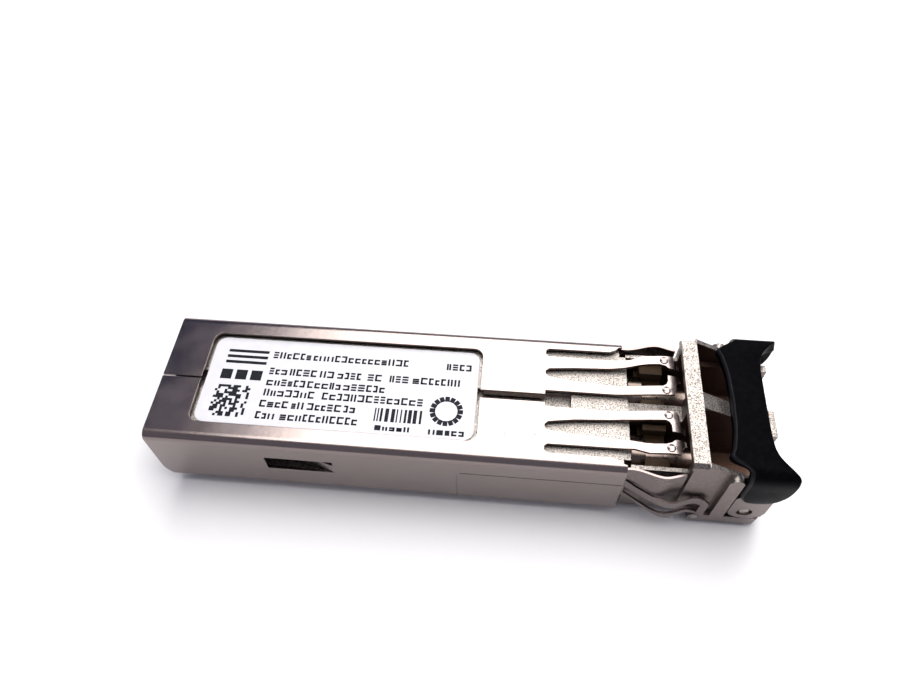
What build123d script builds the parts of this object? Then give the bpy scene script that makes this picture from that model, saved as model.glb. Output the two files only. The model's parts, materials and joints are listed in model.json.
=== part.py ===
from build123d import *
import math
import os

# Pluggable optical transceiver with two side-by-side fibre ports and a bail latch.
#
# Working frame, in millimetres: X runs across the module, Z is the height above its
# underside, and "s" is the distance from the rear end towards the ports, so Y = -s.
# save() moves every piece so that the origin is the centre of the base.

# ---- module envelope ----
overall_length = 56.1
module_width = 13.4
module_height = 8.5
half_width = module_width / 2
bottom_chamfer = 1.1
top_corner_radius = 0.8
boss_drop = 0.45

# ---- sheet-metal cover ----
sheet = 0.25
cover_end = 42.4
bottom_opening_end = 10.4
window_rear = 3.65
window_front = 29.5
window_half_width = 4.84
slit_half_width = 0.42
slot_rear = 35.35
finger_bend = 41.0
finger_tip = 47.42
tab_rear = 10.5
tab_hinge = 16.7
tab_low = 3.85
tab_high = 5.9

# ---- die-cast housings ----
housing_rear = 0.6
deck_height = 7.95
deck_end = 42.8
cavity_half_width = 5.75
cavity_top = 7.0
spring_recess_rear = 37.6

# ---- positive stop and nose ----
stop_rear = 47.5
stop_front = 48.9
stop_height = 10.0
stop_half_width = 6.45
stop_relief = 0.15
stop_relief_top = 9.2
ear_recess_wall = 6.35
nose_front = 55.65
nose_front_height = 6.6
nose_floor_low = 0.65
lip_front = 56.05
rib_rear = 50.75
rib_front = 51.98
rib_half_width = 7.0

# ---- fibre ports ----
port_pitch = 6.25
port_axis_height = 4.25
port_inner = 0.8
port_outer = 5.5
port_floor = 1.95
port_roof = 9.35
port_ledge = 7.0
port_upper_outer = 6.0
holder_rear = 43.9
holder_front = 46.3
ferrule_bore_radius = 0.63
sleeve_radius = 1.45
sleeve_tip = 50.0

# ---- printed circuit board ----
board_rear = 3.2
board_front = 34.0
board_bottom = 2.25
board_thickness = 1.0
board_top = board_bottom + board_thickness
tongue_half_width = 4.6
tongue_length = 5.3
board_half_width = 5.45
contact_pitch = 0.8

# ---- bail and latch lever ----
bail_axis_s = 53.55
bail_axis_z = 2.65
bail_pin_radius = 0.62
pivot_clearance = 0.05
arm_inner = 6.45
arm_outer = 6.9
lever_axis_s = 49.6
lever_axis_z = 0.8
lever_pin_radius = 0.35
lever_low = 0.15
lever_sheet = 0.35
lever_flange_top = 1.35
lever_travel = 8.5
boss_shoulder = 45.0
boss_half_width = 1.3
pocket_top = 1.6
grip_top = 10.25
grip_low = 5.25
grip_bar_low = 9.3
grip_half_width = 7.2
grip_flat_half_width = 5.6
grip_rear = 51.2
grip_front = 54.12


# ---------------------------------------------------------------- helpers
def block(x_low, x_high, s_rear, s_front, z_low, z_high):
    """A box between two widths, two distances from the rear end and two heights."""
    size = Box(x_high - x_low, s_front - s_rear, z_high - z_low)
    return Pos((x_low + x_high) / 2, -(s_rear + s_front) / 2, (z_low + z_high) / 2) * size


def plan_prism(points, z_low, z_high):
    """An outline of (x, s) points drawn from above, as a prism between two heights."""
    outline = Polyline([(x, -s, z_low) for x, s in points], close=True)
    return extrude(make_face(outline), amount=z_high - z_low, dir=(0, 0, 1))


def side_prism(points, x_low, x_high):
    """An outline of (s, z) points drawn from the side, as a prism across the module."""
    outline = Polyline([(x_low, -s, z) for s, z in points], close=True)
    return extrude(make_face(outline), amount=x_high - x_low, dir=(1, 0, 0))


def cross_prism(points, s_rear, s_front):
    """An outline of (x, z) points drawn from the front, as a prism along the module."""
    outline = Polyline([(x, -s_rear, z) for x, z in points], close=True)
    return extrude(make_face(outline), amount=s_front - s_rear, dir=(0, -1, 0))


def rod_across(x_low, x_high, s, z, radius):
    length = x_high - x_low
    return Pos((x_low + x_high) / 2, -s, z) * Rot(0, 90, 0) * Cylinder(radius, length)


def rod_along(s_rear, s_front, x, z, radius):
    length = s_front - s_rear
    return Pos(x, -(s_rear + s_front) / 2, z) * Rot(90, 0, 0) * Cylinder(radius, length)


def rod_up(x, s, z_low, z_high, radius):
    return Pos(x, -s, (z_low + z_high) / 2) * Cylinder(radius, z_high - z_low)


def mirrored(shape):
    """The same shape on the other side of the module's centre plane."""
    return mirror(shape, about=Plane.YZ)


def both_sides(shape):
    return shape + mirrored(shape)


def save(name, *pieces):
    """Write one named sub-part, moved to the centre of the module's base."""
    to_origin = Pos(0, overall_length / 2, boss_drop)
    solids = [to_origin * solid for piece in pieces for solid in piece.solids()]
    shape = solids[0] if len(solids) == 1 else Compound(children=solids)
    export_step(shape, os.path.join("parts", name + ".step"))


def module_body(s_rear, s_front, inset):
    """The module's rounded and chamfered envelope, drawn in by an inset all round."""
    outline = Rectangle(module_width - 2 * inset, module_height - 2 * inset)
    upper = outline.vertices().group_by(Axis.Y)[-1]
    outline = fillet(upper, top_corner_radius - inset)
    lower = outline.vertices().group_by(Axis.Y)[0]
    outline = chamfer(lower, bottom_chamfer - inset * (2 - math.sqrt(2)))
    section = Plane(origin=(0, -s_rear, module_height / 2), x_dir=(1, 0, 0), z_dir=(0, -1, 0))
    return extrude(section * outline, amount=s_front - s_rear)


# ---------------------------------------------------------------- sheet-metal cover
def inner_finger_outline(rear):
    """The finger beside the centre slit, hooked outwards at its tip, seen from above."""
    return [(0.83, rear), (0.83, 46.3), (0.95, 46.75), (1.25, 46.92), (1.95, 46.95),
            (2.3, 47.1), (2.4, finger_tip), (2.86, finger_tip), (2.86, 46.22), (2.25, 46.2),
            (1.92, 46.05), (1.74, 45.75), (1.72, 42.0), (1.8, finger_bend)]


def outer_finger_outline(rear):
    """The finger beside the cover's edge, splayed out and hooked back in at its tip."""
    return [(3.55, rear), (3.72, 42.6), (3.98, 43.9), (4.05, 44.6), (4.05, 45.6),
            (3.9, 46.1), (3.68, 46.35), (3.6, 46.6), (3.6, finger_tip), (4.1, finger_tip),
            (4.16, 47.2), (4.4, 46.98), (4.94, 46.82), (4.94, 44.2), (4.85, 43.95),
            (4.55, 43.0), (4.5, rear)]


def finger_sheet():
    """The bowed sheet that the four top fingers are cut from: up, over, and down again."""
    crown = [(finger_bend, module_height), (43.2, 8.72), (45.4, 9.06), (46.4, 9.1),
             (47.1, 8.9), (finger_tip, 8.66)]
    top = Spline([(-6, -s, z) for s, z in crown])
    under = Spline([(-6, -s, z - sheet) for s, z in crown])
    rear = Line(under @ 0, top @ 0)
    front = Line(top @ 1, under @ 1)
    return extrude(make_face([top, front, under, rear]), amount=12, dir=(1, 0, 0))


def side_tab():
    """A lanced tongue in the cover's side, hinged at its front and bent in behind."""
    bend = math.tan(math.radians(15))
    tongue_rear = tab_rear + 0.75
    inward = (tab_hinge - tongue_rear) * bend
    outline = [(half_width - sheet, tab_hinge + 0.2), (half_width, tab_hinge + 0.2),
               (half_width, tab_hinge), (half_width - inward, tongue_rear),
               (half_width - sheet - inward, tongue_rear), (half_width - sheet, tab_hinge)]
    return plan_prism(outline, tab_low + 0.05, tab_high - 0.6)


def make_top_cover():
    """Wrapped shell, open at the rear underside, slit along its top centre line."""
    past = 1.0
    cover = module_body(0, cover_end, 0) - module_body(-past, cover_end + past, sheet)
    cover -= block(-5.4, 5.4, -past, bottom_opening_end, -past, sheet + 0.3)

    # rounded lower corner at the rear
    corner = ThreePointArc((-7, 0, 3.2), (-7, -0.72, 0.95), (-7, -2.4, 0))
    corner_cut = make_face([corner, Line((-7, -2.4, 0), (-7, -2.4, -1)),
                            Line((-7, -2.4, -1), (-7, 1, -1)), Line((-7, 1, -1), (-7, 1, 3.2)),
                            Line((-7, 1, 3.2), (-7, 0, 3.2))])
    cover -= extrude(corner_cut, amount=14, dir=(1, 0, 0))

    # label window, seam behind it, slit and slots before it
    window_length = window_front - window_rear
    window = RectangleRounded(2 * window_half_width, window_length, 0.9)
    window_middle = Pos(0, -(window_rear + window_front) / 2, module_height - 0.6)
    cover -= window_middle * extrude(window, amount=1.2)
    cover -= block(-0.38, -0.2, -past, window_rear + 0.2, module_height - 0.6, 9)
    cover -= block(-slit_half_width, slit_half_width, window_front - 0.2, slot_rear, 7.8, 9)
    cover -= block(-0.83, 0.83, slot_rear, cover_end + past, 7.8, 9)
    outer_slot = [(4.55, slot_rear + 0.25), (4.75, slot_rear), (5.2, slot_rear),
                  (5.38, slot_rear + 0.25), (5.42, 41.2), (5.65, 41.75), (5.95, 42.05),
                  (6.05, cover_end + 0.01), (4.5, cover_end + 0.01)]
    inner_slot = [(2.34, slot_rear + 0.3), (2.6, slot_rear), (2.95, slot_rear),
                  (3.2, slot_rear + 0.3), (3.4, 38.0), (3.55, finger_bend),
                  (3.55, cover_end + 0.01), (1.8, cover_end + 0.01), (1.8, finger_bend),
                  (2.0, 38.0)]
    for slot in (outer_slot, inner_slot):
        cover -= both_sides(plan_prism(slot, 7.8, 9))
    cover -= block(-4.55, 4.55, finger_bend, cover_end + past, 7.8, 9)

    # top fingers, with a pressed dimple near each tip
    inner = finger_sheet() & plan_prism(inner_finger_outline(finger_bend), 8, 10)
    outer = finger_sheet() & plan_prism(outer_finger_outline(finger_bend), 8, 10)
    dimple_ball = 0.75
    dimple_depth = 0.1
    for x in (1.27, 4.45):
        ball = Pos(x, -46.0, 9.09 + dimple_ball - dimple_depth) * Sphere(dimple_ball)
        inner -= ball
        outer -= ball
    cover += both_sides(inner)
    cover += both_sides(outer)

    # rolled edges that stiffen the slit
    lip = [(slit_half_width, 7.7), (slit_half_width + 0.2, 7.7), (slit_half_width + 0.2, 8.27),
           (slit_half_width, 8.27)]
    cover += both_sides(cross_prism(lip, window_front + 0.3, slot_rear))

    # lanced side tabs, and the lap line of the lower side
    lance = block(half_width - 0.4, half_width + 0.1, tab_rear, tab_hinge, tab_low, tab_high)
    cover -= both_sides(lance)
    cover += both_sides(side_tab())
    lap_line = block(half_width - 0.06, half_width + 0.1, 28.2, cover_end + 0.1, 5.72, 5.82)
    lap_end = block(half_width - 0.06, half_width + 0.1, 27.85, 27.95, bottom_chamfer, 5.45)
    cover -= both_sides(lap_line + lap_end)
    return cover


# ---------------------------------------------------------------- die-cast housings
def make_main_housing():
    """Inverted die-cast tray: a deck under the cover's top, two side walls, a rear bridge."""
    body = module_body(housing_rear, cover_end - 0.2, sheet)
    body -= block(-7, 7, 0, 60, deck_height, 9)
    body += block(-5.3, 5.3, cover_end - 0.25, deck_end, cavity_top, deck_height)
    inner = cavity_half_width
    body -= block(-inner, inner, -1, deck_end - 0.9, -1, cavity_top)
    body -= block(-4.9, 4.9, 40, deck_end + 1, -1, cavity_top)
    body -= block(-inner, inner, -1, bottom_opening_end, -1, 5.25)

    # bridge over the board's tongue, and the ledges the board sits against
    body += block(-inner, inner, housing_rear, 2.4, 5.25, deck_height)
    ledge = block(5.0, inner, 18.0, 33.0, board_top, board_top + 0.9)
    screw_post = rod_up(4.55, 30.5, board_top, cavity_top + 0.1, 1.0)
    pedestal = block(-3.2, 1.2, 21.6, 26.0, 4.75, cavity_top + 0.1)
    body += both_sides(ledge) + both_sides(screw_post) + pedestal
    body -= both_sides(rod_up(4.55, 30.5, board_top - 1, 5.3, 0.5))

    # groove under the slit, raised rails under the cover's edges
    body -= block(-0.85, 0.85, housing_rear - 1, 37.7, 7.3, 9)
    body += both_sides(block(5.3, 5.8, housing_rear, 35.0, deck_height - 0.1, 8.25))

    # room for the side springs and for the cover's lanced tabs
    spring_room = block(6.03, 7, spring_recess_rear, deck_end, 0, 9)
    tab_room = block(5.6, 7, tab_rear - 0.3, tab_hinge, tab_low - 0.2, tab_high + 0.2)
    body -= both_sides(spring_room) + both_sides(tab_room)
    return body


def make_front_housing():
    """Die-cast nose: positive stop, two open-topped ports, divider, and side guard ribs."""
    relieved_face = stop_rear + stop_relief
    rear_box = block(-5.9, 5.9, deck_end + 0.02, relieved_face, 0, 7.6) & module_body(40, 50, 0)
    stop = cross_prism([(-5.45, 0), (5.45, 0), (stop_half_width, 1.0), (stop_half_width, 9.6),
                        (6.12, stop_height), (-6.12, stop_height), (-stop_half_width, 9.6),
                        (-stop_half_width, 1.0)], stop_rear, stop_front)
    stop -= block(-7, 7, stop_rear - 1, relieved_face, -1, stop_relief_top)
    slope = [(stop_front - 0.1, nose_floor_low), (nose_front, nose_floor_low),
             (nose_front, nose_front_height), (stop_front, stop_height),
             (stop_front - 0.1, stop_height)]
    nose = side_prism(slope, -stop_half_width, stop_half_width)
    nose -= both_sides(block(ear_recess_wall, 8, rib_front + 0.05, 60, 0, 12))
    nose -= both_sides(block(ear_recess_wall, 8, stop_front, 60, 0, lever_flange_top + 0.15))
    body = rear_box + stop + nose

    # the two ports, open above in front of the stop and behind it, wider above a ledge
    port = block(port_inner, port_outer, holder_front + 0.1, 60, port_floor, port_roof)
    port += block(port_inner, port_outer, stop_front, 60, port_floor, 12)
    port += block(port_inner, port_upper_outer, stop_front, 60, port_ledge, 12)
    port += block(port_inner, port_outer, deck_end - 1, relieved_face, 6.05, port_roof)
    body -= both_sides(port)
    body -= block(-port_outer, port_outer, deck_end - 1, holder_front + 0.1, port_floor, 6.05)
    body -= block(-port_inner, port_inner, deck_end - 1, relieved_face, 7.3, port_roof)

    # lead-in bevels around each port mouth
    lead_in = 0.35
    mouth = Plane(origin=((port_inner + port_outer) / 2, -nose_front - 0.01, 4.5),
                  x_dir=(1, 0, 0), z_dir=(0, 1, 0))
    port_width = port_outer - port_inner
    port_height = 2 * (4.5 - port_floor)
    bevel = loft([mouth * Rectangle(port_width + 2 * lead_in, port_height + 2 * lead_in),
                  mouth.offset(0.5) * Rectangle(port_width, port_height)])
    body -= both_sides(bevel)

    # lips that stand forward of the divider and of the two outer walls
    lip_low = nose_front_height - 1.2
    body += block(-1.3, 1.3, nose_front - 0.4, lip_front, lip_low, nose_front_height + 0.1)
    outer_lip = block(port_outer, 6.25, nose_front - 0.4, lip_front, lip_low, nose_front_height + 0.1)
    body += both_sides(outer_lip)

    # guard ribs with rounded tops, pocket and cross bore for the latch lever
    rib = block(ear_recess_wall, rib_half_width, rib_rear, rib_front, 1.5, 8.35)
    rib += rod_across(ear_recess_wall, rib_half_width, (rib_rear + rib_front) / 2, 8.2, 0.6)
    body += both_sides(rib)
    body -= block(-2.3, 2.3, deck_end - 1, stop_front + 0.1, -1, pocket_top)
    body -= rod_across(-8, 8, lever_axis_s, lever_axis_z + 0.1, lever_pin_radius)
    pin_room = block(-8, 8, lever_axis_s - 0.6, lever_axis_s + 0.6, 0, lever_axis_z + 0.1)
    body -= pin_room
    for side in (-1, 1):
        x_pair = sorted((side * 5.75, side * 7))
        body -= rod_across(x_pair[0], x_pair[1], bail_axis_s, bail_axis_z, bail_pin_radius)
    return body


def make_label():
    """Adhesive label on the deck, just inside the cover's window."""
    length = window_front - window_rear - 0.55
    outline = RectangleRounded(2 * window_half_width - 0.45, length, 0.95)
    middle = (window_rear + window_front) / 2
    paper = Pos(0, -middle, deck_height) * extrude(outline, amount=0.12)
    return paper


# ---------------------------------------------------------------- side springs
def strip_along(path, thickness, z_low, z_high):
    """A sheet strip standing on edge: its outer face follows (x, s) points from above."""
    outer_face = Spline([(x, -s, z_low) for x, s in path])
    inner_face = Spline([(x - thickness, -s, z_low) for x, s in path])
    ends = [Line(outer_face @ 0, inner_face @ 0), Line(inner_face @ 1, outer_face @ 1)]
    return extrude(make_face([outer_face, inner_face] + ends), amount=z_high - z_low, dir=(0, 0, 1))


def make_side_spring():
    """Formed side spring: a tall bowed finger above, a longer hooked finger below it."""
    thickness = 0.22
    face = 6.28
    base = block(face - thickness, face, 38.0, 42.6, 1.5, 8.1)
    upper = strip_along([(face, 42.4), (6.42, 43.8), (6.85, 45.8), (6.55, 46.9),
                         (stop_half_width, 47.4)], thickness, 3.5, 8.1)
    upper &= side_prism([(42.3, 8.1), (42.3, 6.4), (44.0, 5.6), (45.6, 4.7), (47.4, 4.25),
                         (47.45, 8.1)], 5, 8)
    lower = strip_along([(face, 42.4), (6.55, 43.6), (7.15, 45.4), (7.4, 46.6), (7.22, 47.6),
                         (6.92, 48.5), (6.88, 49.2), (7.04, 49.8), (7.2, 50.35)],
                        thickness, 0.5, 6.5)
    lower &= side_prism([(42.3, 6.25), (43.6, 5.3), (45.0, 4.72), (46.3, 4.45), (47.2, 4.35),
                         (48.2, 4.5), (49.0, 4.72), (49.6, 4.6), (50.1, 4.15), (50.1, 1.6),
                         (48.8, 1.6), (48.0, 1.55), (47.2, 1.2), (46.3, 1.3), (45.2, 1.8),
                         (42.3, 3.3)], 5, 8)
    # long window that leaves a rail above, a thinner rail below and a hook in front
    lower -= side_prism([(42.7, 4.75), (43.5, 4.4), (44.8, 3.8), (46.0, 3.5), (47.0, 3.3),
                         (47.9, 3.35), (48.8, 3.6), (49.5, 3.5), (49.5, 2.0), (48.8, 2.15),
                         (47.7, 2.2), (46.2, 2.05), (45.4, 2.15), (43.9, 2.9), (42.7, 3.7)], 5, 8)
    return base + upper + lower


# ---------------------------------------------------------------- optics
def make_lc_holder():
    """Moulded holder that centres both ferrule sleeves, with saddles on its top."""
    body = block(-5.45, 5.45, holder_rear, holder_front, port_floor + 0.05, 5.6)
    for side in (-1, 1):
        x = side * port_pitch / 2
        saddle_outer = sorted((side * 4.35, side * 5.45))
        saddle_inner = sorted((side * 0.9, side * 1.5))
        body += block(saddle_outer[0], saddle_outer[1], holder_rear + 0.3, holder_front, 5.5, 6.8)
        body += block(saddle_inner[0], saddle_inner[1], holder_rear + 0.3, holder_front, 5.5, 6.6)
        body -= rod_along(holder_rear - 1, holder_front + 1, x, port_axis_height, sleeve_radius)
        body -= rod_along(holder_rear - 1, holder_rear + 0.6, x, port_axis_height, 2.1)
        notch = rod_along(holder_rear - 1, holder_front + 1, x, 6.1, 1.0)
        body -= notch
    return body


def make_sleeve(side):
    """Ferrule receptacle: flanged barrel with the precision bore open to the port."""
    x = side * port_pitch / 2
    barrel = rod_along(40.6, 43.2, x, port_axis_height, 1.75)
    flange = rod_along(43.2, holder_rear + 0.55, x, port_axis_height, 2.1)
    tube = rod_along(holder_rear, sleeve_tip, x, port_axis_height, sleeve_radius)
    tube_edge = tube.edges().group_by(Axis.Y)[0]
    tube = chamfer(tube_edge, 0.2)
    bore = rod_along(44.6, sleeve_tip + 1, x, port_axis_height, ferrule_bore_radius)
    return barrel + flange + tube - bore


def make_can(side):
    """Hermetic can on its header, with four leads towards the board."""
    x = side * port_pitch / 2
    can = rod_along(37.4, 40.6, x, port_axis_height, 2.3)
    can += rod_along(36.9, 37.4, x, port_axis_height, 2.5)
    lead_circle = 1.2
    for quarter in range(4):
        angle = math.radians(45 + 90 * quarter)
        lead_x = x + lead_circle * math.cos(angle)
        lead_z = port_axis_height + lead_circle * math.sin(angle)
        can += rod_along(36.1, 36.95, lead_x, lead_z, 0.22)
    return can


def make_flex(side):
    """Flexible circuit: stands against the can's leads, then lies down on the board."""
    x = side * port_pitch / 2
    film = 0.15
    half = 1.9
    upright = block(x - half, x + half, 35.95, 36.1, board_top, port_axis_height + 1.9)
    tail = block(x - half, x + half, 32.4, 36.1, board_top, board_top + film)
    return upright + tail


def make_can_clamp():
    """Formed metal strap that holds both cans down against the cover's floor side."""
    strap = block(-5.6, 5.6, 38.2, 39.8, port_axis_height + 2.3, port_axis_height + 2.5)
    for side in (-1, 1):
        x = side * port_pitch / 2
        ring = rod_along(38.2, 39.8, x, port_axis_height, 2.5)
        ring -= rod_along(38, 40, x, port_axis_height, 2.3)
        strap += ring & block(-7, 7, 38, 40, port_axis_height + 0.4, port_axis_height + 2.5)
    return strap


# ---------------------------------------------------------------- electronics
def make_board():
    """Circuit board with a narrowed rear tongue that plugs into the host connector."""
    shoulder = board_rear + tongue_length
    outline = [(-tongue_half_width, board_rear), (tongue_half_width, board_rear),
               (tongue_half_width, shoulder), (board_half_width, shoulder + 0.6),
               (board_half_width, board_front), (-board_half_width, board_front),
               (-board_half_width, shoulder + 0.6), (-tongue_half_width, shoulder)]
    board = plan_prism(outline, board_bottom, board_top)
    tongue_edges = board.edges().filter_by(Axis.X).group_by(Axis.Y)[-1]
    board = chamfer(tongue_edges, 0.25)
    return board - both_sides(rod_up(4.55, 30.5, 2, 4, 0.5))


def make_edge_contacts():
    """Ten contact pads on each face of the board's tongue."""
    pads = []
    for face_low in (board_top, board_bottom - 0.04):
        for index in range(10):
            x = (index - 4.5) * contact_pitch
            rear = board_rear + (0.35 if index in (0, 9) else 0.75)
            pads.append(block(x - 0.3, x + 0.3, rear, board_rear + 3.6, face_low, face_low + 0.04))
    return pads


def make_chip(x, s, width, length, height, corner):
    """Square moulded chip with a chamfered top edge."""
    chip = block(x - width / 2, x + width / 2, s - length / 2, s + length / 2,
                 board_top, board_top + height)
    return chamfer(chip.faces().sort_by(Axis.Z)[-1].edges(), corner)


def make_memory_chip():
    """Eight-lead memory chip under the board, with gull-wing leads."""
    x = 1.5
    s = 15.0
    body = block(x - 1.5, x + 1.5, s - 2.2, s + 2.2, board_bottom - 1.05, board_bottom - 0.1)
    for row in (-1, 1):
        for index in range(4):
            lead_s = s + (index - 1.5) * 1.1
            near = x + row * 1.45
            far = x + row * 2.3
            low, high = sorted((near, far))
            body += block(low, high, lead_s - 0.18, lead_s + 0.18, board_bottom - 0.5,
                          board_bottom - 0.35)
            foot_low, foot_high = sorted((far, far - row * 0.2))
            body += block(foot_low, foot_high, lead_s - 0.18, lead_s + 0.18,
                          board_bottom - 0.5, board_bottom)
    return body


def chip_row(count, x, s, pitch, width, length, height):
    """A row of small two-terminal parts on the board's upper face."""
    row = []
    for index in range(count):
        middle = s + index * pitch
        row.append(block(x - width / 2, x + width / 2, middle - length / 2, middle + length / 2,
                         board_top, board_top + height))
    return row


def make_capacitors():
    return (chip_row(5, -4.2, 11.5, 1.4, 1.0, 0.5, 0.5) + chip_row(4, 4.2, 11.5, 1.4, 1.0, 0.5, 0.5)
            + chip_row(3, 2.2, 28.4, 1.2, 1.0, 0.5, 0.5))


def make_resistors():
    return (chip_row(6, -2.4, 11.5, 1.0, 0.6, 0.3, 0.25) + chip_row(6, 2.6, 11.5, 1.0, 0.6, 0.3, 0.25)
            + chip_row(3, -2.2, 28.4, 1.1, 0.6, 0.3, 0.25))


def make_inductors():
    return chip_row(2, 0, 11.8, 2.2, 1.6, 1.2, 1.0)


def make_thermal_pad():
    return block(-3.0, 1.0, 21.8, 25.8, board_top + 0.9, 4.75)


def make_board_screws():
    """Two small screws through the board into the housing's posts."""
    screws = []
    for x in (-4.55, 4.55):
        head = rod_up(x, 30.5, board_bottom - 0.55, board_bottom, 0.95)
        socket = rod_up(x, 30.5, board_bottom - 0.6, board_bottom - 0.3, 0.35)
        screws.append(head + rod_up(x, 30.5, board_bottom, 5.2, 0.5) - socket)
    return screws


# ---------------------------------------------------------------- latch and bail
def make_latch_lever():
    """Rocking sheet lever: wide flanged front, narrow tongue, wedge-shaped boss under it."""
    high = lever_low + lever_sheet
    plate = [(-2.0, 42.95), (2.0, 42.95), (2.0, 49.05), (arm_outer, 49.05), (arm_outer, 54.9),
             (6.35, 55.5), (-6.35, 55.5), (-arm_outer, 54.9), (-arm_outer, 49.05), (-2.0, 49.05)]
    lever = plan_prism(plate, lever_low, high)
    flange = side_prism([(49.05, lever_low), (54.9, lever_low), (54.9, 1.05),
                         (54.6, lever_flange_top), (49.35, lever_flange_top), (49.05, 1.05)],
                        arm_inner + 0.05, arm_outer)
    lever += both_sides(flange)
    lever += side_prism([(43.2, lever_low), (boss_shoulder, -boss_drop),
                         (boss_shoulder, lever_low + 0.05), (43.2, lever_low + 0.05)],
                        -boss_half_width, boss_half_width)
    lever -= rod_across(-8, 8, lever_axis_s, lever_axis_z, lever_pin_radius + pivot_clearance)
    return lever


def make_lever_pin():
    return rod_across(-arm_outer, arm_outer, lever_axis_s, lever_axis_z, lever_pin_radius)


def make_latch_spring():
    """Bowed leaf between the pocket's ceiling and the lever's tongue."""
    film = 0.12
    floor = lever_low + lever_sheet + 0.02
    ceiling = pocket_top - 0.01
    crown = [(43.4, floor + film), (44.6, 1.1), (45.6, ceiling), (46.6, 1.1), (47.6, floor + film)]
    top = Spline([(-1.2, -s, z) for s, z in crown])
    under = Spline([(-1.2, -s, z - film) for s, z in crown])
    ends = [Line(top @ 0, under @ 0), Line(top @ 1, under @ 1)]
    return extrude(make_face([top, under] + ends), amount=2.4, dir=(1, 0, 0))


def cam_radius(angle):
    """Arm radius at an angle round the bail's axis, 0 pointing forward and -90 down."""
    opening = max(0.0, min(90.0, angle + 90.0))
    rock = math.radians(lever_travel * opening / 90.0)
    reach = bail_axis_s - lever_axis_s
    rise = bail_axis_z - lever_axis_z
    flange = lever_flange_top - lever_axis_z
    return reach * math.sin(rock) + rise * math.cos(rock) - flange - 0.1


def make_bail_arm():
    """Flat arm: its lower edge is a cam that presses the lever as the bail swings open."""
    cam = []
    for step in range(13):
        angle = -90 + step * 7.5
        radius = cam_radius(angle)
        cam.append((bail_axis_s + radius * math.cos(math.radians(angle)),
                    bail_axis_z + radius * math.sin(math.radians(angle))))
    front = cam[-1][0]
    heel = []
    for step in range(6):
        angle = 180 + step * 15
        radius = cam_radius(-90)
        heel.append((bail_axis_s + 1.42 * math.cos(math.radians(angle)),
                     bail_axis_z + radius * math.sin(math.radians(angle))))
    upper = [(front, 4.9), (54.9, 5.6), (54.9, 8.6), (52.4, 8.6), (52.4, 5.6)]
    upper += [(bail_axis_s - 1.42, 5.2)]
    arm = side_prism(heel + cam + upper, arm_inner, arm_outer)
    hole = bail_pin_radius + pivot_clearance
    return arm - rod_across(5, 8, bail_axis_s, bail_axis_z, hole)


def make_bail_pins():
    """Two short pins pressed into the nose's walls, domed at their outer ends."""
    pins = []
    for side in (-1, 1):
        low, high = sorted((side * 5.75, side * (arm_outer - 0.12)))
        pin = rod_across(low, high, bail_axis_s, bail_axis_z, bail_pin_radius)
        end = pin.edges().group_by(Axis.X)[-1 if side > 0 else 0]
        pins.append(chamfer(end, 0.2))
    return pins


def make_bail_grip(arm):
    """Moulded grip: bar across the ports, rounded horned ends, and a wing down each arm."""
    rear_corner = 50.55
    notch = 6.2
    wing_rear = rib_front + 0.12
    rear_edge = ThreePointArc((-5.4, -rear_corner, grip_low), (0, -grip_rear, grip_low),
                              (5.4, -rear_corner, grip_low))
    tip_width = 0.3
    tip = grip_half_width - tip_width
    horn = [(tip, overall_length), (6.3, 55.45), (5.7, 54.9), (5.1, 54.5), (4.4, 54.24), (0, grip_front)]
    front = horn + [(-x, s) for x, s in reversed(horn[:-1])]
    front_edge = Spline([(x, -s, grip_low) for x, s in front])
    corner = [(5.4, rear_corner), (notch, 51.75), (notch, wing_rear), (grip_half_width, wing_rear),
              (grip_half_width, overall_length), (tip, overall_length)]
    right = Polyline([(x, -s, grip_low) for x, s in corner])
    left = Polyline([(-x, -s, grip_low) for x, s in corner])
    outline = make_face([rear_edge, right.edges(), front_edge, left.edges()])
    solid = extrude(outline, amount=grip_top - grip_low, dir=(0, 0, 1))

    # hollow under the bar, between the wings
    solid -= block(-arm_inner, arm_inner, 50, 60, grip_low - 1, grip_bar_low)

    # side view: wings rounded below, full in front, tapering to the horn's tip
    bulge = Spline([(-8, -52.7, grip_low), (-8, -54.4, 5.3), (-8, -55.3, 5.7), (-8, -55.85, 6.8),
                    (-8, -56.0, 8.2), (-8, -overall_length, 9.0)])
    rest = Polyline((-8, -overall_length, 9.0), (-8, -overall_length, 9.3), (-8, -55.7, grip_top),
                    (-8, -50.4, grip_top), (-8, -50.4, 9), (-8, -52.0, 9), (-8, -52.0, 6.2),
                    (-8, -52.7, grip_low))
    solid &= extrude(make_face([bulge] + list(rest.edges())), amount=16, dir=(1, 0, 0))

    # rounded shoulders between the flat top and the wings
    shoulder = ThreePointArc((grip_flat_half_width, -50, grip_top), (6.78, -50, 9.78),
                             (grip_half_width, -50, 8.5))
    outside = Polyline((grip_half_width, -50, 8.5), (8, -50, 8.5), (8, -50, 11),
                       (grip_flat_half_width, -50, 11), (grip_flat_half_width, -50, grip_top))
    cut = extrude(make_face([shoulder] + list(outside.edges())), amount=10, dir=(0, -1, 0))
    solid -= both_sides(cut)
    return solid - both_sides(arm)


# ---------------------------------------------------------------- write the sub-parts
os.makedirs("parts", exist_ok=True)

save("top_cover", make_top_cover())
save("main_housing", make_main_housing())
save("front_housing", make_front_housing())
save("label", make_label())

spring = make_side_spring()
save("side_spring_right", spring)
save("side_spring_left", mirrored(spring))

save("lc_holder", make_lc_holder())
for optic, side in (("laser", -1), ("receiver", 1)):
    save(optic + "_sleeve", make_sleeve(side))
    save(optic + "_can", make_can(side))
    save(optic + "_flex", make_flex(side))
save("can_clamp", make_can_clamp())

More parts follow.
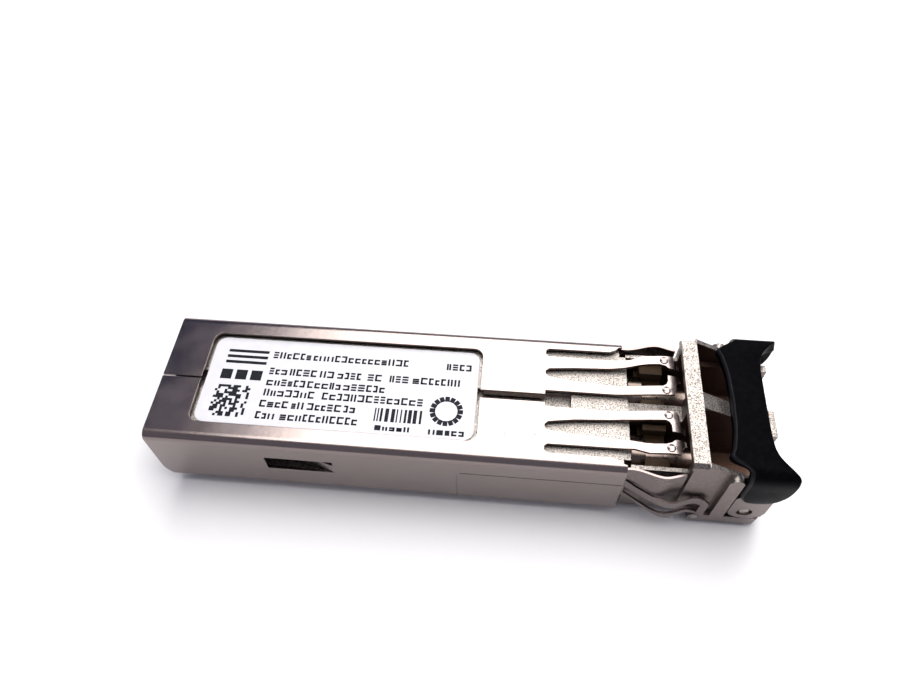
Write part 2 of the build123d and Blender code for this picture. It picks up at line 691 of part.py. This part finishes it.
save("main_board", make_board())
save("edge_contacts", *make_edge_contacts())
save("laser_driver_chip", make_chip(-1.0, 23.8, 4.0, 4.0, 0.9, 0.12))
save("receiver_amplifier_chip", make_chip(3.2, 22.0, 3.0, 3.0, 0.85, 0.1))
save("memory_chip", make_memory_chip())
save("capacitors", *make_capacitors())
save("resistors", *make_resistors())
save("inductors", *make_inductors())
save("thermal_pad", make_thermal_pad())
save("board_screws", *make_board_screws())

save("latch_lever", make_latch_lever())
save("lever_pin", make_lever_pin())
save("latch_spring", make_latch_spring())

bail_arm = make_bail_arm()
save("bail_arm_right", bail_arm)
save("bail_arm_left", mirrored(bail_arm))
save("bail_pins", *make_bail_pins())
save("bail_grip", make_bail_grip(bail_arm))
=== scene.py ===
import json
import math
import random

import bmesh
import bpy
from mathutils import Matrix, Vector


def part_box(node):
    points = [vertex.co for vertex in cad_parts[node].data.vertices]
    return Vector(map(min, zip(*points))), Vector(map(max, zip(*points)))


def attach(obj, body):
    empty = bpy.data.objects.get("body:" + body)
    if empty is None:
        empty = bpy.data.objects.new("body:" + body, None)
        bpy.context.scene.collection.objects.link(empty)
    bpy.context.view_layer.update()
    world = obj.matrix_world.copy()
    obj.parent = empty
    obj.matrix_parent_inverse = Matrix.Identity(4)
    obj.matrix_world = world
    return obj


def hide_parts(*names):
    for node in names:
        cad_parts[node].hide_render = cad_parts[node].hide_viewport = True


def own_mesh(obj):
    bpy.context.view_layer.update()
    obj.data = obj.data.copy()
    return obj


# A pluggable optical transceiver lying on a pale table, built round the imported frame.
# The frame's axes are X across, -Y towards the ports and Z up, in metres. Stations named s
# are millimetres forward of the module's rear end, and w is millimetres towards -X.

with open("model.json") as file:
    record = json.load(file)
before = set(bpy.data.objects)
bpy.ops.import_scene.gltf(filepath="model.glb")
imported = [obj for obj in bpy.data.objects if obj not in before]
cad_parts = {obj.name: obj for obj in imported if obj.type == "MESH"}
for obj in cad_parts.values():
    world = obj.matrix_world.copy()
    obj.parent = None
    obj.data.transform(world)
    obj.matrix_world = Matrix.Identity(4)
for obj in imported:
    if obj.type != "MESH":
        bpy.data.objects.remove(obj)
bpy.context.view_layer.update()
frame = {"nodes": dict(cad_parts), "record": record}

MM = 0.001
scene = bpy.context.scene
random_marks = random.Random(7)

rear_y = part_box("top_cover")[1].y
label_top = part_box("label")[1].z


def at(x, s, z):
    """A point in metres from millimetres: x across, s forward of the rear end, z above the base."""
    return Vector((x * MM, rear_y - s * MM, z * MM))


def front_y(s):
    """Frame Y in millimetres of a station s millimetres forward of the rear end."""
    return rear_y / MM - s


def add_piece(name, mesh, *materials):
    """Turn a bmesh into a linked object of the given name and return it."""
    data = bpy.data.meshes.new(name)
    mesh.to_mesh(data)
    mesh.free()
    for material in materials:
        data.materials.append(material)
    piece = bpy.data.objects.new(name, data)
    scene.collection.objects.link(piece)
    return piece


def add_box(mesh, place, size):
    """Add one closed box of a given size to a bmesh, centred on and turned by a matrix."""
    bmesh.ops.create_cube(mesh, size=1.0, matrix=place @ Matrix.Diagonal((*size, 1.0)))


def bridge_rings(mesh, rings):
    """Join closed rings of vertices into a tube with flat ends; return its side faces."""
    painted_side_shade = []
    for near, far in zip(rings, rings[1:]):
        for step in range(len(near)):
            after = (step + 1) % len(near)
            painted_side_shade.append(mesh.faces.new((near[step], near[after], far[after], far[step])))
    for ring in (rings[0], rings[-1]):
        mesh.faces.new(ring)
    bmesh.ops.recalc_face_normals(mesh, faces=mesh.faces)
    return painted_side_shade


# ---------------------------------------------------------------- material helpers
class Material:
    """A node material with a few short calls for the usual procedural layers."""

    def __init__(self, name, color, metallic=0.0, roughness=0.5, **extra):
        self.material = bpy.data.materials.new(name)
        self.material.use_nodes = True
        self.tree = self.material.node_tree
        self.shader = self.tree.nodes["Principled BSDF"]
        self.set("Base Color", (*color, 1.0))
        self.set("Metallic", metallic)
        self.set("Roughness", roughness)
        for key, value in extra.items():
            self.set(key.replace("_", " "), value)
        self.coords = self.tree.nodes.new("ShaderNodeTexCoord").outputs["Object"]
        self.normal = None

    def set(self, socket, value):
        self.shader.inputs[socket].default_value = value

    def link(self, output, socket):
        self.tree.links.new(output, socket)

    def stretched(self, scale):
        """Object coordinates in millimetres, stretched by a factor along each axis."""
        mapping = self.tree.nodes.new("ShaderNodeMapping")
        mapping.inputs["Scale"].default_value = [1000.0 * factor for factor in scale]
        self.link(self.coords, mapping.inputs["Vector"])
        return mapping.outputs["Vector"]

    def noise(self, per_mm, detail=4.0, rough=0.6, stretch=(1, 1, 1)):
        """Fractal noise with a number of features per millimetre."""
        texture = self.tree.nodes.new("ShaderNodeTexNoise")
        texture.inputs["Scale"].default_value = per_mm
        texture.inputs["Detail"].default_value = detail
        texture.inputs["Roughness"].default_value = rough
        self.link(self.stretched(stretch), texture.inputs["Vector"])
        return texture.outputs["Fac"]

    def cells(self, per_mm, feature="F1"):
        """Distances in a pattern of random cells, with a number of cells per millimetre."""
        texture = self.tree.nodes.new("ShaderNodeTexVoronoi")
        texture.feature = feature
        texture.inputs["Scale"].default_value = per_mm
        self.link(self.stretched((1, 1, 1)), texture.inputs["Vector"])
        return texture.outputs["Distance"]

    def range(self, value, low, high, to_low, to_high):
        """A value remapped from one range to another and clamped."""
        remap = self.tree.nodes.new("ShaderNodeMapRange")
        for socket, number in (("From Min", low), ("From Max", high), ("To Min", to_low),
                               ("To Max", to_high)):
            remap.inputs[socket].default_value = number
        self.link(value, remap.inputs["Value"])
        return remap.outputs["Result"]

    def vary(self, socket, value, low, high, to_low, to_high):
        """Drive a shader socket from a texture, remapped between two values."""
        self.link(self.range(value, low, high, to_low, to_high), self.shader.inputs[socket])

    def color_mix(self, factor, first):
        """Mix node feeding the base colour, holding one colour where the factor is 0."""
        mix = self.tree.nodes.new("ShaderNodeMix")
        mix.data_type = "RGBA"
        mix.inputs["A"].default_value = (*first, 1.0)
        self.link(factor, mix.inputs["Factor"])
        self.link(mix.outputs["Result"], self.shader.inputs["Base Color"])
        return mix

    def tint(self, value, low, high, low_color, high_color):
        """Blend the base colour between two colours along a texture."""
        mix = self.color_mix(self.range(value, low, high, 0.0, 1.0), low_color)
        mix.inputs["B"].default_value = (*high_color, 1.0)

    def recolor(self, keep, color):
        """Keep the base colour where keep is 1 and turn to another where it is 0."""
        old = self.shader.inputs["Base Color"].links[0].from_socket
        self.link(old, self.color_mix(keep, color).inputs["B"])

    def upward(self):
        """1 on faces that look up, 0 on upright ones."""
        normal = self.tree.nodes.new("ShaderNodeNewGeometry").outputs["True Normal"]
        split = self.tree.nodes.new("ShaderNodeSeparateXYZ")
        self.link(normal, split.inputs["Vector"])
        return self.range(split.outputs["Z"], 0.25, 0.75, 0.0, 1.0)

    def outside(self, boxes):
        """0 inside boxes of object space, mirrored across X and given in millimetres."""
        place = self.tree.nodes.new("ShaderNodeSeparateXYZ")
        self.link(self.coords, place.inputs["Vector"])
        across = self.math("ABSOLUTE", place.outputs["X"])
        total = None
        for box in boxes:
            inside = None
            for value, (low, high) in zip((across, place.outputs["Y"], place.outputs["Z"]), box):
                above = self.math("GREATER_THAN", value, low * MM)
                within = self.math("MULTIPLY", above, self.math("LESS_THAN", value, high * MM))
                inside = self.math("MULTIPLY", inside, within) if inside else within
            total = self.math("MAXIMUM", total, inside) if total else inside
        return self.math("SUBTRACT", 1.0, total)

    def math(self, operation, *values):
        """Result of a math node on sockets and plain numbers."""
        node = self.tree.nodes.new("ShaderNodeMath")
        node.operation = operation
        for socket, value in zip(node.inputs, values):
            if isinstance(value, float):
                socket.default_value = value
            else:
                self.link(value, socket)
        return node.outputs["Value"]

    def bevel(self, radius_mm):
        """Soften sharp edges in the shading, as plating and tumbling do."""
        bevel = self.tree.nodes.new("ShaderNodeBevel")
        bevel.samples = 6
        bevel.inputs["Radius"].default_value = radius_mm * MM
        self.normal = bevel.outputs["Normal"]
        self.link(self.normal, self.shader.inputs["Normal"])

    def bump(self, value, height_mm, strength):
        """Add relief of a given height to the shading, on top of what is there."""
        bump = self.tree.nodes.new("ShaderNodeBump")
        bump.inputs["Strength"].default_value = strength
        bump.inputs["Distance"].default_value = height_mm * MM
        self.link(value, bump.inputs["Height"])
        if self.normal:
            self.link(self.normal, bump.inputs["Normal"])
        self.normal = bump.outputs["Normal"]
        self.link(self.normal, self.shader.inputs["Normal"])


# ---------------------------------------------------------------- materials
def sheet_metal(name, color, roughness, edge=0.05):
    """Nickel-plated sheet: rolling grain, faint orange peel, fine speckle, smudges."""
    metal = Material(name, color, metallic=1.0, roughness=roughness)
    smudge = metal.noise(0.35, detail=6.0, rough=0.65)
    metal.vary("Roughness", smudge, 0.3, 0.7, roughness - 0.02, roughness + 0.04)
    warm = [channel * shade for channel, shade in zip(color, (1.0, 0.975, 0.94))]
    metal.tint(metal.noise(0.16, detail=5.0), 0.35, 0.7, color, warm)
    metal.bevel(edge)
    metal.bump(metal.noise(9.0, detail=3.0, stretch=(1.0, 0.06, 1.0)), 0.004, 0.35)
    metal.bump(metal.noise(1.6, detail=4.0, rough=0.55), 0.02, 0.22)
    metal.bump(metal.noise(14.0, detail=2.0), 0.004, 0.3)
    return metal.material


def cast_metal(name, color, inside=None):
    """Blasted and plated die casting: coarse grain and shallow pits, with painted light: the
    grain's bright specks show only on up-facing faces as painted glints, and upright faces get a
    darker painted shade.

    inside, if given, is a list of boxes in millimetres where the metal is painted dark, as deep
    shade.
    """
    metal = Material(name, color, metallic=1.0, roughness=0.4)
    grain = metal.noise(7.5, detail=4.0, rough=0.7)
    painted_side_shade = [channel * shade for channel, shade in zip(color, (0.78, 0.72, 0.72))]
    dark = [channel * 0.22 for channel in color]
    # painted light: bright grain glints only on faces that look up, and a darker painted shade on
    # upright faces
    grain_glints_on_tops = metal.math("MULTIPLY", metal.upward(), metal.range(grain, 0.39, 0.54, 0.0, 1.0))
    metal.tint(grain_glints_on_tops, 0.0, 1.0, dark, color)
    metal.recolor(metal.upward(), painted_side_shade)
    if inside:
        # boxes of the ports are painted dark brown as deep shade
        metal.recolor(metal.outside(inside), painted_port_shade)
    metal.vary("Roughness", metal.noise(2.0), 0.3, 0.7, 0.32, 0.52)
    metal.bevel(0.07)
    metal.bump(grain, 0.05, 0.6)
    metal.bump(metal.cells(6.0), 0.02, 0.3)
    return metal.material


def turned_metal(name, color, roughness=0.25):
    """Turned or drawn metal: fine lines along X and a slightly uneven sheen."""
    metal = Material(name, color, metallic=1.0, roughness=roughness)
    metal.vary("Roughness", metal.noise(1.5, detail=5.0), 0.3, 0.7, roughness - 0.06,
               roughness + 0.1)
    metal.bevel(0.04)
    metal.bump(metal.noise(7.0, detail=3.0, stretch=(1.0, 4.0, 1.0)), 0.004, 0.4)
    return metal.material


def moulded(name, color, roughness, grain_per_mm=6.0, edge=0.08, top_sheen=0.4,
            side_sheen=0.4):
    """Moulded plastic: fine spark-eroded texture, uneven sheen, slightly softened edges."""
    plastic = Material(name, color, roughness=roughness)
    plastic.vary("Specular IOR Level", plastic.upward(), 0.0, 1.0, side_sheen, top_sheen)
    plastic.vary("Roughness", plastic.noise(0.5, detail=6.0), 0.3, 0.7, roughness - 0.07,
                 roughness + 0.1)
    light = [min(1.0, channel * 1.25 + 0.002) for channel in color]
    plastic.tint(plastic.noise(2.2, detail=6.0), 0.4, 0.75, color, light)
    plastic.bevel(edge)
    plastic.bump(plastic.noise(grain_per_mm), 0.012, 0.5)
    return plastic.material


def label_film():
    """White label film, faintly mottled and a little wavy over the deck under it."""
    film = Material("label_film", (0.50, 0.50, 0.52), roughness=0.48)
    film.tint(film.noise(1.2, detail=7.0), 0.35, 0.75, (0.50, 0.50, 0.525), (0.465, 0.465, 0.49))
    film.vary("Roughness", film.noise(3.0), 0.3, 0.7, 0.4, 0.56)
    film.bevel(0.05)
    film.bump(film.noise(0.45, detail=3.0), 0.03, 0.4)
    film.bump(film.noise(12.0), 0.003, 0.4)
    return film.material


def print_ink():
    """Thermal-transfer ink, slightly starved and speckled."""
    ink = Material("print_ink", (0.006, 0.007, 0.012), roughness=0.6, Specular_IOR_Level=0.2)
    ink.tint(ink.noise(9.0, detail=5.0, rough=0.8), 0.55, 0.75, (0.005, 0.006, 0.011),
             (0.06, 0.06, 0.08))
    ink.bump(ink.noise(14.0), 0.002, 0.5)
    return ink.material


def board_laminate():
    """Green solder mask over woven glass, with faint copper relief."""
    board = Material("board_laminate", (0.01, 0.09, 0.035), roughness=0.32)
    board.tint(board.cells(1.1, feature="DISTANCE_TO_EDGE"), 0.02, 0.09, (0.015, 0.15, 0.05),
               (0.008, 0.075, 0.03))
    board.bump(board.noise(4.0, stretch=(1.0, 0.2, 1.0)), 0.01, 0.5)
    board.bump(board.noise(4.0, stretch=(0.2, 1.0, 1.0)), 0.01, 0.5)
    return board.material


casting = (0.34, 0.315, 0.295)
# painted deep shade for the insides of the ports and the gap behind the stop
painted_port_shade = (0.11, 0.068, 0.052)
finishes = {
    "cover_sheet": sheet_metal("cover_sheet", (0.27, 0.234, 0.226), 0.2),
    "spring_sheet": sheet_metal("spring_sheet", (0.22, 0.185, 0.18), 0.27, edge=0.04),
    "lever_sheet": sheet_metal("lever_sheet", (0.26, 0.225, 0.22), 0.33),
    "cast_metal": cast_metal("cast_metal", casting),
    "label_paper": label_film(),
    "amber_plastic": moulded("amber_plastic", (0.05, 0.03, 0.014), 0.5, top_sheen=0.15),
    "sleeve_metal": turned_metal("sleeve_metal", (0.16, 0.13, 0.115)),
    "can_metal": turned_metal("can_metal", (0.75, 0.60, 0.33)),
    "flex_film": moulded("flex_film", (0.42, 0.17, 0.04), 0.3),
    "board_laminate": board_laminate(),
    "contact_gold": turned_metal("contact_gold", (0.83, 0.60, 0.25), 0.22),
    "chip_moulding": moulded("chip_moulding", (0.018, 0.018, 0.02), 0.5),
    "ceramic_tan": moulded("ceramic_tan", (0.30, 0.20, 0.11), 0.4),
    "ceramic_dark": moulded("ceramic_dark", (0.03, 0.03, 0.035), 0.4),
    "pad_silicone": moulded("pad_silicone", (0.33, 0.38, 0.44), 0.7),
    "pin_steel": turned_metal("pin_steel", (0.40, 0.36, 0.34), 0.2),
    "spring_steel": turned_metal("spring_steel", (0.45, 0.46, 0.50), 0.3),
    "black_plastic": moulded("black_plastic", (0.002, 0.002, 0.003), 0.34, grain_per_mm=5.0,
                             edge=0.05, top_sheen=0.008, side_sheen=0.05),
}

# boxes of the ports, their wider upper parts and the gap behind the stop, painted dark as
# deep shade, as ranges of distance from the middle, Y and Z in millimetres
port_boxes = [((0.77, 5.53), (front_y(55.6), front_y(47.6)), (-1.0, 9.95)),
              ((5.4, 6.02), (front_y(55.6), front_y(48.95)), (7.3, 12.0)),
              ((-1.0, 5.6), (front_y(47.7), front_y(42.9)), (-1.0, 7.4))]
finishes["nose_metal"] = cast_metal("nose_metal", casting, inside=port_boxes)

for row in frame["record"]["subparts"]:
    node = frame["nodes"][row["node"]]
    finish = "nose_metal" if row["node"] == "front_housing" else row["material_slot"]
    node.data.materials.clear()
    node.data.materials.append(finishes[finish])
    for polygon in node.data.polygons:
        polygon.material_index = 0


# ---------------------------------------------------------------- label print
def make_print():
    """Generic print: rows of unreadable marks, stripes, squares, a scatter grid, bars, a ring.

    Each mark is a closed box sunk half its ink's thickness into the film.
    """
    mesh = bmesh.new()
    ink = 0.008
    stroke = 0.17

    def mark(s, w, length, height):
        """One rectangle of ink, from s forwards and from w towards -X."""
        middle = at(-w - height / 2, s + length / 2, label_top / MM + ink / 4)
        add_box(mesh, Matrix.Translation(middle), (height * MM, length * MM, 1.5 * ink * MM))

    def words(s, w, height, lengths):
        """A row of small marks grouped like words, with no letter shapes."""
        for length in lengths:
            end = s + length
            while s < end - 0.2:
                width = random_marks.uniform(0.38, 0.6)
                low = random_marks.choice((0.0, 0.0, 0.22 * height))
                shape = random_marks.choice(("open", "open", "shut", "bars", "stems"))
                if shape == "bars":
                    for part in (0.0, 0.5, 1.0):
                        mark(s, w + low + part * (height - low - stroke), width, stroke)
                elif shape == "stems":
                    mark(s, w + low, stroke, height - low)
                    mark(s + width - stroke, w + low, stroke, height - low)
                else:
                    mark(s, w + low, width, stroke)
                    mark(s, w + height - stroke, width, stroke)
                    side = 0.0 if shape == "open" else width - stroke
                    mark(s + side, w + low, stroke, height - low)
                s += width + 0.16
            s = end + 0.45

    # rows of marks: the s and w where each starts, its height, the lengths of its groups
    rows = ((9.7, -3.3, 0.72, (3.4, 9.2)),
            (26.2, -3.2, 0.68, (2.6,)),
            (9.7, -1.5, 0.72, (1.5, 2.4, 1.2, 2.4, 1.6, 1.7, 4.4)),
            (9.7, -0.3, 0.72, (3.4, 2.9, 4.2)),
            (9.7, 0.8, 0.74, (5.0, 2.2, 6.4)),
            (9.6, 2.0, 0.72, (2.5, 1.0, 2.9, 1.0)),
            (9.5, 3.2, 0.74, (1.8, 7.2)),
            (20.4, 3.75, 0.5, (3.1,)),
            (25.2, 3.8, 0.5, (3.0,)))
    for row in rows:
        words(*row)

    # three plain stripes and three plain squares
    for step in range(3):
        mark(5.3, -3.3 + step * 0.62, 3.9, 0.3)
        mark(5.2 + step * 1.42, -1.05, 1.05, 1.05)

    # scatter grid of square cells, half of them inked
    cell = 0.235
    for column in range(14):
        for line in range(14):
            if random_marks.random() < 0.5:
                mark(5.1 + column * cell, 0.65 + line * cell, cell, cell)

    # upright bars of three widths
    s = 20.2
    while s < 24.3:
        width = random_marks.choice((0.12, 0.2, 0.32))
        mark(s, 2.0, width, 1.35)
        s += width + random_marks.choice((0.14, 0.24))

    # plain ring of short blocks
    blocks, ring_radius = 16, 1.25
    for step in range(blocks):
        angle = math.tau * step / blocks
        middle = at(-1.85 - ring_radius * math.sin(angle), 26.6 + ring_radius * math.cos(angle),
                    label_top / MM + ink / 4)
        place = Matrix.Translation(middle) @ Matrix.Rotation(-angle, 4, "Z")
        add_box(mesh, place, (0.42 * MM, 0.5 * MM, 1.5 * ink * MM))

    piece = add_piece("label_print", mesh, print_ink())
    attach(piece, "module")


make_print()


# ---------------------------------------------------------------- moulded grip
def between(table, value):
    """Linear interpolation in a table of (key, result) pairs with rising keys."""
    for (low, before), (high, after) in zip(table, table[1:]):
        if value <= high:
            return before + (after - before) * max(0.0, value - low) / (high - low)
    return table[-1][1]


def grip_stations():
    """Sections from the middle of the bar, round a shoulder and down to the wing's end.

    Each is (outer x, outer z, inner x, inner z, rear s, front s), in millimetres.
    """
    top, bar_low, bend_x, bend_z = 10.70, 9.75, 5.6, 8.95
    half_width, wing_inner = 7.2, 6.42
    rear = ((0.0, 51.2), (2.4, 51.12), (3.6, 50.98), (4.7, 50.75), (5.2, 50.5), (5.45, 50.62),
            (5.8, 51.1), (6.2, 51.7), (6.45, 52.0), (6.7, 52.1), (half_width, 52.1))
    front = ((0.0, 54.12), (3.2, 54.14), (4.4, 54.26), (5.1, 54.52), (5.7, 54.95), (6.3, 55.5),
             (6.7, 55.92), (6.95, 56.08), (half_width, 56.1))
    stations = []
    for x in (0.0, 0.8, 1.6, 2.4, 3.2, 3.8, 4.3, 4.7, 5.0, 5.25, 5.45):
        stations.append((x, top, x, bar_low, between(rear, x), between(front, x)))
    for step in range(13):
        turn = math.radians(90 - 7.5 * step)
        across, up = max(0.0, math.cos(turn)) ** 0.75, math.sin(turn) ** 0.75
        x = bend_x + (half_width - bend_x) * across
        stations.append((x, bend_z + (top - bend_z) * up,
                         bend_x + (wing_inner - bend_x) * across, bend_z + (bar_low - bend_z) * up,
                         between(rear, x), between(front, x)))
    wing = ((8.5, 52.1, 56.09), (8.0, 52.1, 56.05), (7.5, 52.1, 55.96), (7.0, 52.11, 55.8),
            (6.6, 52.16, 55.58), (6.3, 52.27, 55.38), (6.1, 52.38, 55.18), (5.93, 52.52, 54.92),
            (5.81, 52.68, 54.6), (5.74, 52.9, 54.2), (5.71, 53.2, 53.8))
    for z, rear_s, front_s in wing:
        stations.append((half_width, z, wing_inner, z, rear_s, front_s))
    return stations


def make_grip():
    """The grip as one smooth skin lofted through rounded sections."""
    half = grip_stations()
    path = [(-outer_x, outer_z, -inner_x, inner_z, rear_s, front_s)
            for outer_x, outer_z, inner_x, inner_z, rear_s, front_s in reversed(half[1:])] + half
    corner_steps = 6
    mesh = bmesh.new()
    rings = []
    for outer_x, outer_z, inner_x, inner_z, rear_s, front_s in path:
        depth = math.hypot(outer_x - inner_x, outer_z - inner_z)
        length = front_s - rear_s
        rear_radius = min(0.26, 0.36 * depth, 0.42 * length)
        front_radius = 0.5 * rear_radius
        corners = ((rear_s + rear_radius, rear_radius, rear_radius, 270),
                   (rear_s + rear_radius, depth - rear_radius, rear_radius, 180),
                   (front_s - front_radius, depth - front_radius, front_radius, 90),
                   (front_s - front_radius, front_radius, front_radius, 0))
        ring = []
        for middle_s, middle_n, radius, start in corners:
            for step in range(corner_steps):
                angle = math.radians(start - 90 / (corner_steps - 1) * step)
                s = middle_s + radius * math.cos(angle)
                share = (middle_n + radius * math.sin(angle)) / depth
                x = outer_x + (inner_x - outer_x) * share
                z = outer_z + (inner_z - outer_z) * share
                ring.append(mesh.verts.new(at(x, s, z)))
        rings.append(ring)
    # Faces round the rear top edge take a lighter black: a painted highlight where the light
    # catches the rounded edge.
    for index, face in enumerate(bridge_rings(mesh, rings)):
        face.smooth = True
        on_rear_rim = index % len(rings[0]) < corner_steps - 1
        face.material_index = 1 if on_rear_rim else 0
    painted_rim_highlight = moulded("grip_rim_painted_highlight", (0.010, 0.010, 0.013), 0.3, edge=0.02, top_sheen=0.05,
                  side_sheen=0.2)
    piece = add_piece("grip_skin", mesh, finishes["black_plastic"], painted_rim_highlight)
    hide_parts("bail_grip")
    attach(piece, "bail")


make_grip()


# ---------------------------------------------------------------- latch spring
def make_leaf():
    """Bowed leaf over the lever's tongue, built in its resting bow."""
    low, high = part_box("latch_spring")
    thickness = 0.12 * MM
    middle_y = (low.y + high.y) / 2
    half_length = (high.y - low.y) / 2
    rise = high.z - low.z - thickness
    steps = 32
    mesh = bmesh.new()
    rows = []
    for step in range(steps + 1):
        share = 2 * step / steps - 1
        y = middle_y + share * half_length
        under = low.z + rise * (0.5 + 0.5 * math.cos(math.pi * share))
        over = under + thickness
        section = ((low.x, under), (high.x, under), (high.x, over), (low.x, over))
        rows.append([mesh.verts.new((x, y, z)) for x, z in section])
    bridge_rings(mesh, rows)
    piece = add_piece("leaf_spring", mesh, finishes["spring_steel"])
    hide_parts("latch_spring")
    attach(piece, "module")
    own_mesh(piece)


make_leaf()


# ---------------------------------------------------------------- scribed triangle
def make_engraving():
    """Faint plain triangle scribed on the cover, in front of the label."""
    mesh = bmesh.new()
    corners = ((31.9, 2.75), (34.6, 3.75), (31.9, 4.75))
    line_width, lift, cover_top = 0.06, 0.004, 8.95
    for (s_from, w_from), (s_to, w_to) in zip(corners, corners[1:] + corners[:1]):
        start, end = (at(-w, s, cover_top + lift / 2) for s, w in ((s_from, w_from), (s_to, w_to)))
        along = end - start
        turn = Matrix.Rotation(math.atan2(along.y, along.x), 4, "Z")
        add_box(mesh, Matrix.Translation((start + end) / 2) @ turn,
                (along.length, line_width * MM, lift * MM))
    scribed = sheet_metal("scribed_metal", (0.26, 0.23, 0.22), 0.4)
    piece = add_piece("scribed_triangle", mesh, scribed)
    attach(piece, "module")


make_engraving()


# ---------------------------------------------------------------- table
def make_floor():
    """A wide pale table top."""
    pale = (0.67, 0.67, 0.68)
    paint = Material("table_paint", pale, roughness=0.6)
    paint.tint(paint.noise(0.01, detail=3.0), 0.3, 0.7, pale, (0.655, 0.655, 0.665))
    mesh = bmesh.new()
    bmesh.ops.create_grid(mesh, x_segments=1, y_segments=1, size=3.0)
    floor = add_piece("table_top", mesh, paint.material)
    floor.location.z = -0.02 * MM


make_floor()


# ---------------------------------------------------------------- lights
def softbox(name, middle, size, radiance, color, turn=0.0):
    """An area light of a given radiance, facing straight down and turned about Z in degrees."""
    light = bpy.data.lights.new(name, "AREA")
    light.shape = "RECTANGLE"
    light.size, light.size_y = size
    light.energy = radiance * math.pi * size[0] * size[1]
    light.color = color
    holder = bpy.data.objects.new(name, light)
    holder.location = middle
    holder.rotation_euler.z = math.radians(turn)
    scene.collection.objects.link(holder)


def make_world():
    """Dim, cool surroundings with a round dark patch above the rear on the +X side."""
    surroundings = (0.36, 0.35, 0.41, 1.0)
    patch = (0.012, 0.026, 0.13, 1.0)
    patch_middle = Vector((0.65, 0.45, 0.62))
    patch_core_deg, patch_edge_deg = 14, 27
    world = bpy.data.worlds.new("studio")
    world.use_nodes = True
    scene.world = world
    tree = world.node_tree
    background = tree.nodes["Background"]
    direction = tree.nodes.new("ShaderNodeTexCoord").outputs["Generated"]
    toward = tree.nodes.new("ShaderNodeVectorMath")
    toward.operation = "DOT_PRODUCT"
    toward.inputs[1].default_value = patch_middle.normalized()
    tree.links.new(direction, toward.inputs[0])
    shade = tree.nodes.new("ShaderNodeMapRange")
    shade.interpolation_type = "SMOOTHSTEP"
    shade.inputs["From Min"].default_value = math.cos(math.radians(patch_edge_deg))
    shade.inputs["From Max"].default_value = math.cos(math.radians(patch_core_deg))
    tree.links.new(toward.outputs["Value"], shade.inputs["Value"])
    mix = tree.nodes.new("ShaderNodeMix")
    mix.data_type = "RGBA"
    mix.inputs["A"].default_value = surroundings
    mix.inputs["B"].default_value = patch
    tree.links.new(shade.outputs["Result"], mix.inputs["Factor"])
    tree.links.new(mix.outputs["Result"], background.inputs["Color"])
    background.inputs["Strength"].default_value = 1.0


warm_white = (1.0, 0.98, 0.95)
softbox("overhead_softbox", (0.285, -0.051, 0.40), (0.70, 0.40), 5.2, warm_white, turn=-2.0)
softbox("side_softbox", (0.72, -0.34, 0.40), (0.40, 0.36), 4.8, warm_white)
softbox("front_softbox", (-0.02, -0.42, 0.40), (0.30, 0.30), 3.8, warm_white)
make_world()


# ---------------------------------------------------------------- camera
def make_camera():
    """Close camera above the -X side, just ahead of the middle, rolled slightly."""
    azimuth = math.radians(-82.7)
    elevation = math.radians(54.57)
    roll = math.radians(-2.35)
    distance = 0.07477
    target = Vector((8.73 * MM, 2.20 * MM, 5.0 * MM))
    back = Vector((math.sin(azimuth) * math.cos(elevation),
                   -math.cos(azimuth) * math.cos(elevation), math.sin(elevation)))
    level_right = Vector((math.cos(azimuth), math.sin(azimuth), 0.0))
    level_up = back.cross(level_right)
    right = level_right * math.cos(roll) + level_up * math.sin(roll)
    up = back.cross(right)
    lens = bpy.data.cameras.new("photo_camera")
    lens.sensor_width = 36.0
    lens.lens = 29.37
    lens.clip_start = 0.005
    lens.clip_end = 20.0
    holder = bpy.data.objects.new("photo_camera", lens)
    turn = Matrix((right, up, back)).transposed().to_4x4()
    holder.matrix_world = Matrix.Translation(target + back * distance) @ turn
    scene.collection.objects.link(holder)
    scene.camera = holder


make_camera()
scene.view_settings.view_transform = "Standard"
scene.view_settings.exposure = 0.1
scene.view_settings.gamma = 0.88
